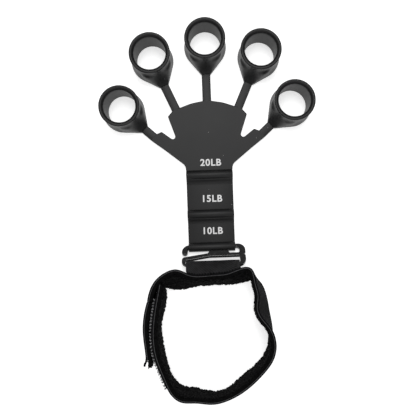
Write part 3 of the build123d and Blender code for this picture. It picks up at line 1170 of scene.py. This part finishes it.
    def build_sleeve(self) -> None:
        """Wrap the twill sleeve round the hook's bottom bar and lay its ends on the band."""
        low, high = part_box("sleeve_tab")
        bar = Vector(joint("band_swing")["pos_m"])
        radius = high.y - bar.y
        across = high.x - low.x
        columns = round(across / self.sleeve_step)
        foot_v, top_v = self.tape_low + self.sleeve_up, self.tape_high
        half = self.line.length / 2
        bm = bmesh.new()
        uv = bm.loops.layers.uv.new("UVMap")
        rings, marks = [], []
        for i in range(columns + 1):
            x = low.x + across * i / columns
            ends = [self.line.at(self.line.where(0, x, v, half, self.line.length), v, out)
                    for v, out in ((foot_v, self.webbing * self.sleeve_in),
                                   (top_v, self.webbing + self.sleeve))]
            path = self.wrap(bar, radius, ends, x)
            wave = [noise.noise(Vector((x, p.y, p.z)) / self.sleeve_lump) * self.sleeve_wave
                    for p in path]
            rings.append([bm.verts.new(p + Vector((0, w, w * 0.5))) for p, w in zip(path, wave)])
            marks.append([sum((q - p).length for p, q in zip(path[:k], path[1:k + 1]))
                          for k in range(len(path))])
        for i in range(columns):
            for k in range(len(rings[0]) - 1):
                face = bm.faces.new((rings[i][k], rings[i + 1][k], rings[i + 1][k + 1],
                                     rings[i][k + 1]))
                for loop, (di, dk) in zip(face.loops, ((0, 0), (1, 0), (1, 1), (0, 1))):
                    loop[uv].uv = (across * (i + di) / columns, marks[i + di][k + dk])
        bmesh.ops.recalc_face_normals(bm, faces=bm.faces[:])
        middle = sum((f.normal.dot(f.calc_center_median() - bar) for f in bm.faces), 0.0)
        if middle < 0:
            bmesh.ops.reverse_faces(bm, faces=bm.faces[:])
        bmesh.ops.solidify(bm, geom=bm.faces[:], thickness=self.sleeve)
        bmesh.ops.recalc_face_normals(bm, faces=bm.faces[:])
        piece = finish_mesh("sleeve_twill", bm, self.finishes.twill, 50.0)
        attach(piece, "band")
        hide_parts("sleeve_tab")

    def wrap(self, bar: Vector, radius: float, ends: list[Vector], x: float) -> list[Vector]:
        """The path of a sleeve: from its lower end round the bar to its upper end.

        Args:
            bar: the bar's middle.
            radius: the sleeve's outside, from the bar's middle.
            ends: its lower and its upper end.
            x: where it is, across.

        Returns:
            The path's points in order.
        """
        angles = []
        for end, side in zip(ends, (-1, 1)):
            dy, dz = end.y - bar.y, end.z - bar.z
            reach = math.hypot(dy, dz)
            angles.append(math.atan2(dz, dy) - side * math.acos(min(1.0, radius / reach)))
        start, stop = (a % math.tau for a in angles)
        start = start - math.tau if start > stop else start
        arc = [Vector((x, bar.y + radius * math.cos(start + (stop - start) * i / 24),
                       bar.z + radius * math.sin(start + (stop - start) * i / 24)))
               for i in range(25)]
        rise = [ends[0].lerp(arc[0], i / 14) for i in range(14)]
        fall = [arc[-1].lerp(ends[1], i / 14) for i in range(1, 15)]
        return rise + arc + fall

    def build(self) -> None:
        """Make the whole band."""
        self.build_webbing()
        self.build_plush()
        self.build_tape()
        self.build_sleeve()
        LOG.info("wrist band made, %.0f mm long", self.line.length / MM)


# ---- camera, lights and floor ---------------------------------------------------------------

@dataclass
class Studio:
    """A pale floor under large soft lights, seen from straight above."""
    hand: Hand
    height: float = 306 * MM
    sight: tuple[float, float] = (-0.45, 0.0)    # the point below the camera, in the hand's mm
    view_angle: float = 50.05
    roll: float = -2.0
    surroundings: float = 0.3        # strength of the even light from all round
    floor_glow: float = 0.62         # light that the floor gives off itself
    floor_half: float = 4.0          # half the floor's side
    floor_drop: float = 0.1 * MM     # the floor lies this far below the object

    def build(self) -> None:
        """Make the camera, the lights, the floor and the surroundings."""
        camera = bpy.data.objects.new("camera", bpy.data.cameras.new("camera"))
        bpy.context.scene.collection.objects.link(camera)
        camera.data.angle = math.radians(self.view_angle)
        camera.data.clip_start, camera.data.clip_end = 0.01, 20.0
        camera.location = self.hand.place(*self.sight) + Vector((0, 0, self.height))
        camera.rotation_euler = (0, 0, math.radians(self.roll))
        bpy.context.scene.camera = camera
        self.lamp("key", (0.0, 0.36, 0.95), 0.42, 4.3)
        self.lamp("fill", (0.1, -0.6, 0.8), 0.8, 1.8)
        world = bpy.data.worlds.new("studio")
        bpy.context.scene.world = world
        world.use_nodes = True
        background = world.node_tree.nodes["Background"]
        background.inputs["Color"].default_value = paint("ffffff")
        background.inputs["Strength"].default_value = self.surroundings
        self.floor()
        bpy.context.scene.view_settings.view_transform = "Standard"

    def lamp(self, name: str, spot: tuple[float, float, float], size: float, power: float) -> None:
        """Hang one square soft light, aimed at the object.

        Args:
            name: the lamp's name.
            spot: where it hangs.
            size: the length of its side.
            power: its power in watts.
        """
        data = bpy.data.lights.new(name, "AREA")
        data.size, data.energy = size, power
        lamp = bpy.data.objects.new(name, data)
        bpy.context.scene.collection.objects.link(lamp)
        lamp.location = spot
        lamp.rotation_euler = (-Vector(spot)).to_track_quat("-Z", "Y").to_euler()

    def floor(self) -> None:
        """Lay a wide matt white floor just under the object."""
        material, tree, shader = start_material("white paper")
        place = add(tree, "ShaderNodeTexCoord").outputs["Object"]
        tooth = add(tree, "ShaderNodeTexNoise", {"Vector": place, "Scale": 30.0})
        tone = add(tree, "ShaderNodeValToRGB", {"Fac": tooth.outputs["Fac"]})
        set_ramp(tone, [(0.0, paint("f6f6f6")), (1.0, paint("fafafa"))])
        tree.links.new(tone.outputs["Color"], shader.inputs["Base Color"])
        shader.inputs["Roughness"].default_value = 0.95
        shader.inputs["Emission Color"].default_value = paint("ffffff")
        shader.inputs["Emission Strength"].default_value = self.floor_glow
        bm = bmesh.new()
        bmesh.ops.create_grid(bm, x_segments=1, y_segments=1, size=self.floor_half)
        bmesh.ops.translate(bm, verts=bm.verts[:], vec=(0, 0, -self.floor_drop))
        finish_mesh("paper_floor", bm, material)


def main() -> None:
    """Build the object and its studio, and note the sizes."""
    logging.basicConfig(level=logging.INFO, format="%(name)s: %(message)s")
    finishes = Finishes()
    hand = Hand(finishes)
    Studio(hand).build()
    hand.build()
    GHook(finishes).build()
    WristBand(finishes).build()


if __name__ == "__main__":
    main()
